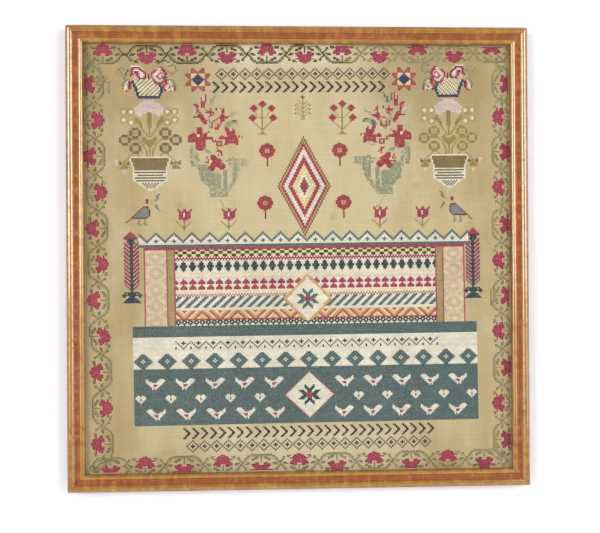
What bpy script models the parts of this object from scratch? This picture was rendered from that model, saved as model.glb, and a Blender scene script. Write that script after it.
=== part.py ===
"""Framed cross stitch sampler: a sheet of evenweave cloth in a gilt and red-brown moulding.

Metres, +Z up. The front faces -Y and the back lies in the plane Y = 0. The origin is the middle of
the flat back of the top rail, where the frame lies against a wall.
"""
from math import cos, pi, radians, sin

import bmesh
import bpy
from mathutils import Matrix

# Frame, outer edge to outer edge, and the moulding's section
FRAME_SIDE = 0.600
RAIL_WIDTH = 0.022
OUTER_SIDE_HEIGHT = 0.0196      # the moulding's outer side, up to its small chamfer
CHAMFER = 0.0013
OUTER_BEAD_BASE = 0.0210        # heights above the back of the frame
OUTER_BEAD_HALF_WIDTH = 0.0039
OUTER_BEAD_RISE = 0.0025
INNER_BEAD_BASE = 0.0196
INNER_BEAD_HALF_WIDTH = 0.0028
INNER_BEAD_RISE = 0.0019
HOLLOW_WIDTH = 0.0068           # the scooped band between the beads
HOLLOW_SAG = 0.0021
SIGHT_EDGE_HEIGHT = 0.0190
REBATE_WIDTH = 0.006
REBATE_DEPTH = 0.0105
BEAD_STEPS = 16
HOLLOW_STEPS = 10

GAP = 0.0003                    # clearance between neighbouring pieces

# Cloth sheet, flat size and unevenness
CLOTH_THICKNESS = 0.0012
CLOTH_SIDE = FRAME_SIDE - 2 * (RAIL_WIDTH - REBATE_WIDTH) - 0.001
CLOTH_CELLS = 30
CLOTH_SWELL = 0.0011            # how far the middle stands forward of the edges
CLOTH_WAVE = 0.00055            # height of the loose waves across the sheet
CLOTH_CLAMPED_BAND = 0.060      # the waves fade out over this width towards the rebate lip

BOARD_THICKNESS = 0.003
BOARD_SIDE = FRAME_SIDE - 2 * (RAIL_WIDTH - REBATE_WIDTH) - 2 * GAP
BOARD_EDGE_RADIUS = 0.0005

# The back land of the top rail is as wide as the rail beside its rebate
ORIGIN_BELOW_TOP = (RAIL_WIDTH - REBATE_WIDTH) / 2
CENTRE_Z = ORIGIN_BELOW_TOP - FRAME_SIDE / 2

RAILS = (                       # name, turn about the axis through the frame's middle
    ("rail_top", 0),
    ("rail_right", 90),
    ("rail_bottom", 180),
    ("rail_left", 270),
)

BACK_TO_FRONT = Matrix.Rotation(radians(90), 4, "X")


def clear_scene():
    for thing in list(bpy.data.objects):
        bpy.data.objects.remove(thing, do_unlink=True)


def make_collection(name):
    collection = bpy.data.collections.new(name)
    bpy.context.scene.collection.children.link(collection)
    return collection


def make_material(name, colour, roughness, metallic=0.0):
    material = bpy.data.materials.new(name)
    material.use_nodes = True
    shader = material.node_tree.nodes["Principled BSDF"]
    shader.inputs["Base Color"].default_value = (*colour, 1.0)
    shader.inputs["Roughness"].default_value = roughness
    shader.inputs["Metallic"].default_value = metallic
    return material


def bead(centre, base, half_width, rise):
    """Points over a low round bead, from its outer foot to its inner foot."""
    return [
        (centre - half_width * cos(pi * step / BEAD_STEPS),
         base + rise * sin(pi * step / BEAD_STEPS))
        for step in range(BEAD_STEPS + 1)
    ]


def hollow(start, end):
    """Points down and up the scoop between two bead feet, without the feet themselves."""
    points = []
    for step in range(1, HOLLOW_STEPS):
        share = step / HOLLOW_STEPS
        across = start[0] + share * (end[0] - start[0])
        height = start[1] + share * (end[1] - start[1])
        points.append((across, height - HOLLOW_SAG * 4 * share * (1 - share)))
    return points


def moulding_section():
    """Outline of the moulding: (distance in from the outer edge, height above the back)."""
    outer = bead(CHAMFER + OUTER_BEAD_HALF_WIDTH, OUTER_BEAD_BASE,
                 OUTER_BEAD_HALF_WIDTH, OUTER_BEAD_RISE)
    inner_centre = outer[-1][0] + HOLLOW_WIDTH + INNER_BEAD_HALF_WIDTH
    inner = bead(inner_centre, INNER_BEAD_BASE, INNER_BEAD_HALF_WIDTH, INNER_BEAD_RISE)
    rebate_wall = RAIL_WIDTH - REBATE_WIDTH
    return [
        (0.0, 0.0),
        (0.0, OUTER_SIDE_HEIGHT),
        *outer,
        *hollow(outer[-1], inner[0]),
        *inner,
        (RAIL_WIDTH, SIGHT_EDGE_HEIGHT),
        (RAIL_WIDTH, REBATE_DEPTH),
        (rebate_wall, REBATE_DEPTH),
        (rebate_wall, 0.0),
    ]


def outline_solid(name, points, length):
    """A filled flat outline, drawn out along Z to the given length, as one welded mesh."""
    curve = bpy.data.curves.new(name, "CURVE")
    curve.dimensions = "2D"
    curve.fill_mode = "BOTH"
    curve.extrude = length / 2
    spline = curve.splines.new("POLY")
    spline.points.add(len(points) - 1)
    for slot, (across, height) in zip(spline.points, points):
        slot.co = (across, height, 0.0, 1.0)
    spline.use_cyclic_u = True
    drawn = bpy.data.objects.new(name, curve)
    bpy.context.scene.collection.objects.link(drawn)
    evaluated = drawn.evaluated_get(bpy.context.evaluated_depsgraph_get())
    mesh = bpy.data.meshes.new_from_object(evaluated)
    bpy.data.objects.remove(drawn, do_unlink=True)
    bpy.data.curves.remove(curve)
    solid = bmesh.new()
    solid.from_mesh(mesh)
    bmesh.ops.remove_doubles(solid, verts=solid.verts, dist=0.00001)
    bmesh.ops.recalc_face_normals(solid, faces=solid.faces)
    solid.to_mesh(mesh)
    solid.free()
    return mesh


def mitred_rail_mesh():
    """The top rail about the frame's middle: each end point slides in by its distance from the
    outer edge, which cuts both ends to 45 degrees, and half a gap is left at each mitre."""
    mesh = outline_solid("moulding", moulding_section(), FRAME_SIDE)
    mitre_gap = GAP / 2 * 2 ** 0.5
    for vertex in mesh.vertices:
        across, height, along = vertex.co
        inset = across + mitre_gap
        along += -inset if along > 0 else inset
        vertex.co = (-along, -height, FRAME_SIDE / 2 - across)
    mesh.shade_smooth()
    mesh.set_sharp_from_angle(angle=radians(40))
    return mesh


def add_object(name, mesh, material, collection, parent):
    thing = bpy.data.objects.new(name, mesh)
    if not mesh.materials:
        mesh.materials.append(material)
    collection.objects.link(thing)
    thing.parent = parent
    return thing


def add_rails(collection, middle):
    gilt = make_material("gilt_moulding", (0.45, 0.24, 0.07), 0.38, 0.6)
    mesh = mitred_rail_mesh()
    for name, turn in RAILS:
        rail = add_object(name, mesh, gilt, collection, middle)
        rail.rotation_euler.y = radians(turn)


def cloth_height(x, z):
    """How far the sheet stands forward of its clamped edges at a place across the frame."""
    across = 2 * x / CLOTH_SIDE
    up = 2 * z / CLOTH_SIDE
    from_lip = FRAME_SIDE / 2 - RAIL_WIDTH - max(abs(x), abs(z))
    loose = min(1.0, max(0.0, from_lip / CLOTH_CLAMPED_BAND))
    swell = CLOTH_SWELL * (1 - across ** 2) * (1 - up ** 2)
    lengthways = 1 + sin(7.0 * across + 1.6 * up + 0.4)
    crossways = 1 + sin(5.2 * up - 2.3 * across + 1.9)
    return swell + CLOTH_WAVE * loose * (0.6 * lengthways + 0.4 * crossways)


def add_cloth(collection, middle):
    linen = make_material("tan_linen", (0.50, 0.38, 0.22), 0.9)
    mesh = bpy.data.meshes.new("sampler_cloth")
    sheet = bmesh.new()
    bmesh.ops.create_grid(sheet, x_segments=CLOTH_CELLS, y_segments=CLOTH_CELLS,
                          size=CLOTH_SIDE / 2, matrix=BACK_TO_FRONT)
    edge_plane = -(REBATE_DEPTH - GAP)
    for vertex in sheet.verts:
        x, _, z = vertex.co
        vertex.co.y = edge_plane - cloth_height(x, z)
    sheet.to_mesh(mesh)
    sheet.free()
    mesh.shade_smooth()
    cloth = add_object("sampler_cloth", mesh, linen, collection, middle)
    body = cloth.modifiers.new("Thickness", "SOLIDIFY")
    body.thickness = CLOTH_THICKNESS
    body.offset = -1.0


def add_board(collection, middle):
    board_wood = make_material("backing_wood", (0.36, 0.24, 0.13), 0.75)
    bpy.ops.mesh.primitive_cube_add(size=1.0)
    board = bpy.context.active_object
    board.name = "backing_board"
    front = REBATE_DEPTH - GAP - CLOTH_THICKNESS - GAP
    size = Matrix.Diagonal((BOARD_SIDE, BOARD_THICKNESS, BOARD_SIDE, 1.0))
    place = Matrix.Translation((0.0, -(front - BOARD_THICKNESS / 2), 0.0))
    board.data.transform(place @ size)
    for holder in board.users_collection:
        holder.objects.unlink(board)
    collection.objects.link(board)
    board.data.materials.append(board_wood)
    board.parent = middle
    edges = board.modifiers.new("Eased edges", "BEVEL")
    edges.width = BOARD_EDGE_RADIUS
    edges.segments = 2


def main():
    clear_scene()
    collection = make_collection("framed_cross_stitch_sampler")
    middle = bpy.data.objects.new("frame_middle", None)
    middle.location = (0.0, 0.0, CENTRE_Z)
    collection.objects.link(middle)
    add_rails(collection, middle)
    add_cloth(collection, middle)
    add_board(collection, middle)


main()
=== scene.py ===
"""The framed cross stitch sampler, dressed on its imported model.

Metres, +Z up, the frame's front towards -Y and its flat back in the plane Y = 0. The sampler is
worked in real crosses of wool on a counted grid: column c runs right and row r runs down from the
middle of the frame.
"""
import math

import bpy
import numpy as np
from mathutils import Euler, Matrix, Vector


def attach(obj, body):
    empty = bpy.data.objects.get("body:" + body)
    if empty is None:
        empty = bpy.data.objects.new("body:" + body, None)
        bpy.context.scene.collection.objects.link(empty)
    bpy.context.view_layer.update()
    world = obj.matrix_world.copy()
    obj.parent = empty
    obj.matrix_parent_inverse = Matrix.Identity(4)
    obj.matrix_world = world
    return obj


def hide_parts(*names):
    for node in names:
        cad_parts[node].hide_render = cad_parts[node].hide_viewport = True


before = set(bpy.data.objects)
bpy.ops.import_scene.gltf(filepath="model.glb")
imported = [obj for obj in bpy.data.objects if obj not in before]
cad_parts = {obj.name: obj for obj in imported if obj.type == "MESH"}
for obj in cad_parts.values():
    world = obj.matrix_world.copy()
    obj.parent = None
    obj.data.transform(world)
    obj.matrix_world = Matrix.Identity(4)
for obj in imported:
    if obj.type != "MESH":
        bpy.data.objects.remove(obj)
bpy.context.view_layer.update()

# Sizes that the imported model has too
FRAME_SIDE = 0.600
RAIL_WIDTH = 0.022
REBATE_WIDTH = 0.006
REBATE_DEPTH = 0.0105
GAP = 0.0003
CENTRE_Z = -0.292
CLOTH_THICKNESS = 0.0012
CLOTH_SIDE = FRAME_SIDE - 2 * (RAIL_WIDTH - REBATE_WIDTH) - 0.001
CLOTH_SWELL = 0.0011
CLOTH_WAVE = 0.00055
CLOTH_CLAMPED_BAND = 0.060
CLOTH_CELLS = 126

# Counted grid: stitch pitch and the slight pull of the cloth in its frame
PITCH_X = 0.00190
PITCH_Z = 0.00179
LEAN = 0.013
RISE = 0.008
SPREAD = 0.0001
GRID_HALF = 170
WORKED_REACH = 0.2775            # stitches further out than this lie under the frame

random = np.random.default_rng(19)


def linear(colour):
    """A 0-255 screen colour as the linear values that materials take."""
    share = np.asarray(colour, float) / 255
    return np.where(share <= 0.04045, share / 12.92, ((share + 0.055) / 1.055) ** 2.4)


# ------------------------------------------------------------------------------ threads

THREADS = dict(
    crimson=(161, 61, 86), crimson_dark=(122, 42, 56), crimson_soft=(168, 80, 98),
    red=(160, 61, 74), red_soft=(178, 96, 98), pink=(214, 158, 156), lilac=(212, 190, 180),
    cream=(224, 218, 199), cream_warm=(228, 216, 180), yellow=(226, 208, 148),
    straw=(218, 202, 150), sand=(206, 186, 152), dusk=(200, 176, 164), teal=(85, 104, 105),
    teal_dark=(52, 70, 72), navy=(50, 68, 98), ink=(48, 44, 48), olive=(150, 132, 76),
    olive_soft=(164, 148, 102), pot=(132, 113, 76), brown=(108, 88, 58), lattice=(60, 42, 34),
    petal_brown=(124, 104, 74), petal_tan=(180, 162, 124), tan=(204, 160, 112),
    vine=(120, 110, 76), vine_pale=(152, 142, 108), vine_leaf=(106, 106, 70),
    shadow_green=(128, 130, 98), foliage=(162, 158, 126), foliage_light=(182, 174, 138),
    foliage_deep=(148, 152, 124), stem_pink=(194, 160, 132), wing=(122, 134, 132),
    bird_leg=(138, 140, 112), plum=(118, 84, 104),
)
THREAD_NAMES = list(THREADS)
BARE = -1
UNDERLAID = {"lattice": "cream_warm"}     # worked as a single slanting arm over another colour
LETTERS = dict(
    c="crimson", k="crimson_dark", h="crimson_soft", p="pink", i="lilac", w="cream", y="yellow",
    t="teal", d="teal_dark", n="navy", o="olive", q="olive_soft", f="petal_brown",
    m="petal_tan", a="cream_warm", v="vine", e="vine_pale", l="vine_leaf", s="shadow_green",
    g="foliage_light", u="plum", r="red",
)

grid_size = 2 * GRID_HALF + 1
thread_at = np.full((grid_size, grid_size), BARE, np.int16)
piece_at = np.zeros((grid_size, grid_size), np.int16)
PIECES = ["none"]


class Needle:
    """Works the stitches of one piece, counted from a place on the grid and towards the left if
    side is -1. With a mirror sum it works column c as mirror - c, for a motif's partner."""

    def __init__(self, piece, mirror=None, drop=0):
        if piece not in PIECES:
            PIECES.append(piece)
        self.piece = PIECES.index(piece)
        self.mirror, self.drop = mirror, drop
        self.c, self.r, self.side = 0, 0, 1

    def place(self, c, r):
        return self.c + self.side * c, self.r + r

    def at(self, c, r=0, side=1):
        """The same needle, counting from another stitch."""
        moved = Needle(PIECES[self.piece], self.mirror, self.drop)
        moved.c, moved.r = self.place(c, r)
        moved.side = self.side * side
        return moved

    def halves(self):
        return self.at(0, 0, -1), self.at(0)

    def cell(self, c, r):
        column = c if self.mirror is None else self.mirror - c
        return int(round(r + self.drop)) + GRID_HALF, int(round(column)) + GRID_HALF

    def put(self, c, r, thread):
        cell = self.cell(c, r)
        thread_at[cell] = BARE if thread is None else THREAD_NAMES.index(thread)
        piece_at[cell] = self.piece

    def worked(self, c, r):
        """The thread that this piece has at a place, or None."""
        cell = self.cell(c, r)
        own = piece_at[cell] == self.piece and thread_at[cell] != BARE
        return THREAD_NAMES[thread_at[cell]] if own else None

    def dot(self, c, r, thread):
        self.put(*self.place(c, r), thread)

    def dots(self, places, thread):
        for c, r in places:
            self.dot(c, r, thread)

    def spot(self, c, r, thread):
        """A stitch and its four neighbours."""
        self.dots([(c, r - 1), (c - 1, r), (c, r), (c + 1, r), (c, r + 1)], thread)

    def box(self, c0, r0, c1, r1, thread):
        for r in range(r0, r1 + 1):
            for c in range(c0, c1 + 1):
                self.dot(c, r, thread)

    def line(self, points, thread, width=1):
        """A line through the points. Its width grows sideways, or up and down where it is flat."""
        for (c0, r0), (c1, r1) in zip(points, points[1:]):
            steps = max(1, int(math.ceil(max(abs(c1 - c0), abs(r1 - r0)))))
            flat = abs(c1 - c0) > abs(r1 - r0)
            for step in range(steps + 1):
                share = step / steps
                for extra in range(width):
                    shift = extra - (width - 1) / 2
                    self.dot(c0 + share * (c1 - c0) + (0 if flat else shift),
                             r0 + share * (r1 - r0) + (shift if flat else 0), thread)

    def oval(self, c, r, half_c, half_r, thread):
        for row in range(-half_r - 1, half_r + 2):
            for column in range(-half_c - 1, half_c + 2):
                if (column / (half_c + 0.3)) ** 2 + (row / (half_r + 0.3)) ** 2 <= 1:
                    self.dot(c + column, r + row, thread)

    def shape(self, points, thread):
        """A filled outline, such as a petal or a leaf."""
        corners = np.array([self.place(*point) for point in points], float)
        low = np.floor(corners.min(0)).astype(int)
        high = np.ceil(corners.max(0)).astype(int)
        edges = list(zip(corners, np.roll(corners, -1, axis=0)))
        for r in range(low[1], high[1] + 1):
            for c in range(low[0], high[0] + 1):
                crossed = sum((r0 > r) != (r1 > r) and c < (c1 - c0) * (r - r0) / (r1 - r0) + c0
                              for (c0, r0), (c1, r1) in edges)
                if crossed % 2:
                    self.put(c, r, thread)

    def chart(self, c, r, rows):
        """Letters centred on a stitch; a point leaves what is there."""
        c, r = self.place(c, r)
        for down, row in enumerate(rows, r - (len(rows) - 1) // 2):
            for along, letter in enumerate(row, c - (len(row) - 1) // 2):
                if letter != ".":
                    self.put(along, down, LETTERS[letter])


def mirrored(*rows, even=False, down=False):
    """A chart from its left half or, with down, its upper left quarter. Unless even, the halves
    share the middle."""
    shared = 0 if even else 1
    rows = [row + row[::-1][shared:] for row in rows]
    return rows + rows[::-1][shared:] if down else rows


# ------------------------------------------------------------------------------ border

# Half of the repeat, from the flower's middle to the crossing of the two strands. Rows run in from
# the frame.
FLOWER_HALF = """
vvvvvvvv......
veeeeeeevv....
v.lll...eev...
v..llll..eev..
v....ll...ev..
v.ccc......ev.
..cccck.lll.vv
ccccccc..lll.v
hcccck......ev
hcccc......ev.
chcccck...ev..
ccccc..ll.vv..
ccck..lll.....
cc............
""".split()
VINE_DEPTH = 13
BORDER_SIDES = {                 # edge row or column, its drift, and flowers turned out and in
    "top": (-155, 0.0, (-130, -74, -20, 32, 85, 138), (-101, -47, 6, 58, 111)),
    "bottom": (156, 0.0, (-130, -81, -29, 23, 75, 127), (-107, -55, -3, 49, 101)),
    "left": (-142, 0.009, (-127, -75, -23, 29, 81, 133), (-101, -49, 3, 55, 107)),
    "right": (149, -0.015, (-126, -76, -22, 30, 83, 136), (-102, -50, 4, 56, 109)),
}


def border_dot(needle, side, along, row, thread):
    edge, drift = BORDER_SIDES[side][:2]
    depth = edge + round(drift * along) + (row if side in ("top", "left") else -row)
    place = (along, depth) if side in ("top", "bottom") else (depth, along)
    needle.dot(*place, thread)


def work_border():
    """The vine first, its strands and leaves, and then the flowers over it."""
    needle = Needle("border")
    for flowers in (False, True):
        for side, (_, _, outward, inward) in BORDER_SIDES.items():
            for middle in outward + inward:
                for row, letters in enumerate(FLOWER_HALF):
                    depth = VINE_DEPTH - row - flowers if middle in outward else row
                    for step, letter in enumerate(letters):
                        if letter != "." and (letter in "vel") != flowers:
                            for along in (middle - step, middle + step):
                                border_dot(needle, side, along, depth, LETTERS[letter])
            if not flowers:
                middles = sorted(outward + inward)
                for first, second in zip(middles, middles[1:]):
                    for along in range(first + 13, second - 12):
                        border_dot(needle, side, along, 6, "vine")
                        border_dot(needle, side, along, 7, "vine")
    for thread, *points in (     # strands that carry the vine round each corner
        ("vine", (-142, -152), (-137, -142), (-131, -134), (-129, -128)),
        ("vine_pale", (-138, -146), (-133, -140), (-127, -130), (-126, -120)),
        ("vine_leaf", (-141, -139), (-137, -144)),
        ("vine_leaf", (-136, -132), (-133, -126)),
        ("vine", (-131, 146), (-137, 151), (-143, 156)),
        ("vine_leaf", (-128, 144), (-135, 145), (-139, 150)),
        ("vine_leaf", (-142, 148), (-139, 153)),
        ("vine", (134, 140), (138, 146), (145, 152)),
        ("vine_pale", (131, 143), (136, 150), (142, 156)),
        ("vine_leaf", (140, 144), (144, 148)),
        ("vine_leaf", (140, 156), (144, 151)),
        ("vine", (140, -144), (145, -136)),
        ("vine_pale", (136, -148), (141, -140), (143, -130)),
        ("vine_leaf", (142, -148), (147, -142)),
    ):
        needle.line(points, thread, 2)


def top_border(c, r):
    """How strongly the vine has kept its colour along the top, left of the middle, and how much
    more than elsewhere it has lost on the right."""
    at_top = np.clip((-r - 125) / 15, 0, 1)
    return (at_top * np.clip((90 - np.abs(c + 44)) / 22, 0, 1),
            at_top * np.clip((c - 30) / 20, 0, 1))


# ------------------------------------------------------------------------------ motifs

def work_star(needle):
    """Square of eight points round a blue diamond."""
    for u in range(-8, 9):
        for v in range(-8, 9):
            near, far = sorted((abs(u), abs(v)))
            if far <= 4:
                needle.dot(u, v, "navy" if near + far <= 4 else "yellow")
            elif near <= 4 and near >= far - 5:
                needle.dot(u, v, "red" if near in (far - 5, 4) else "red_soft")


SPRIG_DIAMOND = mirrored("..r", ".rr", "rrr", ".rr", "..r", even=True)


def work_sprig(needle):
    """Five red diamonds on olive stems, counted from the foot."""
    needle.line([(0, -2), (0, -19)], "olive")
    for half in needle.halves():
        half.line([(6, -10), (6, -9), (1, -4)], "olive")
        half.line([(5, -16), (2, -12), (1, -12)], "olive_soft")
        half.chart(6, -19, SPRIG_DIAMOND)
        half.chart(7, -12, SPRIG_DIAMOND)
    needle.chart(0, -22, SPRIG_DIAMOND)
    needle.line([(-1, -1), (1, -1)], "olive")
    needle.line([(-3, 0), (3, 0)], "olive_soft")


def work_small_sprig(needle):
    needle.line([(0, -1), (0, -14)], "olive_soft")
    needle.line([(-1, 0), (1, 0)], "olive_soft")
    for half in needle.halves():
        for lift in (4, 7, 10):
            half.line([(1, 2 - lift), (4, -1 - lift)], "olive_soft")
            half.dot(5, -lift, "red")
        half.line([(1, -11), (3, -13)], "olive_soft")
    needle.spot(0, -16, "red")


ROSE = """
.wwwwww....
p.kkkkkw...
.kkpppkkw..
.kpwwwpkkp.
.kpkkcwwkk.
.kpkccpwwkk
kkkiccpwwpk
k.wiccpwwpk
.iiiiccwwkk
..iiipkkkk.
""".split()
WIDE_ROSE = """
.....pp.cc...
.....p.wwcc..
....ccpw.cck.
...ccpwwpwkc.
..ccpwwpccpck
k.cpwwpcwppck
k.cpwpcwwppk.
k.cpwpcpwccu.
k..cwwpccpcc.
...ccwwppwcc.
...pccwwwcc..
....cccccc...
.....c..cc...
""".split()
SMALL_BUD = """
...ss..
..sswk.
.sggwkk
.sgw.kk
ssgw.kc
.swwpkc
.kwwpkk
..wppc.
...cc..
""".split()
OPEN_BUD = """
.ss......
.cksss...
.ckgwgs..
.ccgwggs.
.cc.gwgs.
ccpwggsss
cppwkggcs
cpw.kwwcs
ckpwwpwcc
.kpp.cwc.
""".split()
BASKET_ROWS = (                  # outer stitches of the left and right side, from the rim down
    (-10, 9), (-10, 9), (-9, 9), (-9, 9), (-9, 10), (-8, 10), (-8, 10), (-8, 10), (-7, 10),
    (-7, 9), (-7, 9), (-6, 8), (-6, 8),
)


def work_basket(needle):
    """Lattice basket with two roses and drooping buds, counted from the middle of its rim."""
    for row in range(-3, 12):
        left, right = BASKET_ROWS[row] if row >= 0 else (-7 - 2 * row, 7 + 2 * row)
        for column in range(left, right + 1):
            needle.dot(column, row, "cream_warm" if (column + row) % 3 else "lattice")
    for row, (left, right) in enumerate(BASKET_ROWS):
        needle.box(left, row, left + 1, row, "navy")
        needle.box(right - 1, row, right, row, "navy")
    needle.box(-5, 11, 7, 12, "navy")
    for thread, *points in (
        ("vine", (-9, -7), (-13, -8), (-15, -2)),
        ("vine_leaf", (12, -4), (13, -3)),
        ("vine_leaf", (8, -13), (11, -15), (15, -14)),
        ("shadow_green", (14, -11), (18, -12), (20, -8), (17, -5), (14, -7)),
        ("vine_pale", (-15, -5), (-17, -4), (-20, -6), (-19, -9), (-16, -10), (-15, -8)),
        ("shadow_green", (-18, -8), (-17, -6)),
    ):
        needle.line(points, thread)
    needle.chart(-14, 3, SMALL_BUD)
    needle.chart(15, 2, OPEN_BUD)
    needle.chart(-6, -7, ROSE)
    needle.chart(7, -4, WIDE_ROSE)


FOUR_PETALS = mirrored("..ff", ".qff", "ffmm", "ffmm", even=True, down=True)
RING = mirrored(".qq", "qma", "qaa", down=True)
HEART = """
.oo.....oo.
oooo...oooo
oooooooooo.
.ooooooooo.
..ooooooo..
...ooooo...
....ooo....
.....o.....
""".split()


def work_urn(needle, petal):
    """Pale dome, olive plant and striped pot, one above the other."""
    blooms = [row.replace("f", petal) for row in FOUR_PETALS]
    for row, reach in enumerate((3, 4, 6, 7, 8, 9, 10, 10, 10, 9, 8, 7), -115):
        for column in range(-reach, reach + 1):
            if row < -105 or abs(column) > 4:
                needle.dot(column, row, "lilac")
    needle.line([(0, -106), (0, -96)], "olive", 3)
    needle.line([(0, -96), (0, -89)], "olive")
    for half in needle.halves():
        half.shape([(9.6, -104), (10.2, -101.4), (7, -97.4), (5.6, -95.4), (4, -95.4),
                    (5.2, -99), (8, -103)], "olive")
        half.line([(5, -95), (4, -93), (1, -89)], "olive")
        half.line([(11, -100), (9, -102), (13, -104), (16, -105)], "olive_soft")
        for across, row in ((12, -107), (17, -107), (17, -101), (12, -99)):
            half.chart(across, row, RING)
        half.line([(13, -87), (8, -87), (4, -83), (3, -81), (2, -78), (2, -74)], "olive")
        for across, row in ((10, -92), (17, -87), (10, -81)):
            half.chart(across, row, blooms)
        half.line([(10, -78), (7, -75)], "olive")
        half.line([(11, -77), (17, -71)], "olive")
        half.spot(17, -70, "olive")
        half.shape([(17.2, -70), (20.6, -65.6), (13.8, -65.6)], "olive")
        for leaf in half.at(17).halves():
            leaf.shape([(0.5, -69.5), (3.6, -72.5), (3.6, -68)], "petal_brown")
        half.shape([(21.5, -72), (23.6, -72), (22.5, -68.4), (21.2, -69)], "lilac")
        half.box(16, -64, 18, -64, "lilac")
        half.dot(17, -63, "lilac")
    needle.chart(0, -85, HEART)
    needle.line([(0, -81), (0, -74)], "olive")
    for row in range(-73, -64):
        reach = 12 - (row > -71) - (row > -68)
        needle.box(-reach, row, reach, row, "pot")
        needle.dots([(-reach - 1, row), (reach + 1, row)], "cream")
    needle.box(-12, -74, 12, -74, "cream")
    for row in range(-64, -49):
        reach = 11 if row < -56 else 9 - int(1.4 * (row + 56))
        stripe = {-63: 10, -61: 8, -59: 10, -57: 9}.get(row, -1)
        for column in range(-reach, reach + 1):
            check = -56 < row < -51 and (column + row) % 2 == 0 and abs(column) < reach - 1
            dark = abs(column) <= stripe or check
            needle.dot(column, row, "brown" if dark else "cream")


def work_bird(needle, leaf):
    """Perching bird with its tail down to the left, counted from the top of its wing."""
    needle.shape([(-2, 0), (1.5, 0), (2.5, 2), (2, 7), (0, 8.5), (-10, 8.5)], "wing")
    needle.line([(-2, 0), (-9, 7), (-13, 11)], "crimson_dark")
    needle.line([(-2, 0), (1, 0), (2, 2), (2, 6), (0, 8), (-9, 8)], "crimson_dark")
    needle.line([(-10, 7), (-14, 11)], "petal_tan")
    needle.box(0, -5, 1, -3, "crimson_dark")
    needle.dot(0, -4, "crimson_soft")
    needle.line([(0, -2), (1, -2)], "petal_tan")
    for foot in (-5, -1):
        needle.line([(foot, 9), (foot, 13)], "bird_leg")
        needle.dots([(foot - 1, 12), (foot + 1, 13)], "bird_leg")
    needle.line([(3, -4), (5, -3)], "petal_tan")
    needle.shape([(7.4, -9.4), (9.4, -9.4), (7.6, -5), (5.4, -4)], leaf)
    needle.shape([(5, -1.6), (7, -1.6), (9.6, 3.4), (7.4, 2.4)], leaf)


TREE_FOOT = mirrored("......u", "..ddddd", ".dd.ddd", "dndddnn", ".ddyydn", "....ddn", "...ddnn",
                     "..dnnnn", ".dddddd", even=True)


def work_tree_column(needle):
    """Tall plant of red chevrons on a teal foot, counted from the tip of its bud."""
    for row, reach in enumerate((0, 1, 2, 3, 4, 4)):
        needle.box(-reach, row, reach, row, "crimson" if row < 5 else "crimson_dark")
    needle.box(-3, 5, 3, 5, "teal_dark")
    needle.box(-2, 6, 2, 7, "teal_dark")
    for row in range(8, 43):
        reach = 4 if row < 38 else 42 - row
        for half in (needle.at(0, row, -1), needle.at(1, row)):
            for across in range(reach + 1):
                stripe = (row + across) % 3
                if across < reach or stripe < 2:
                    half.dot(across, 0, ("teal_dark", "crimson", "pink")[stripe])
            half.dot(0, 0, "teal_dark")
    needle.chart(0, 47, TREE_FOOT)


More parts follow.
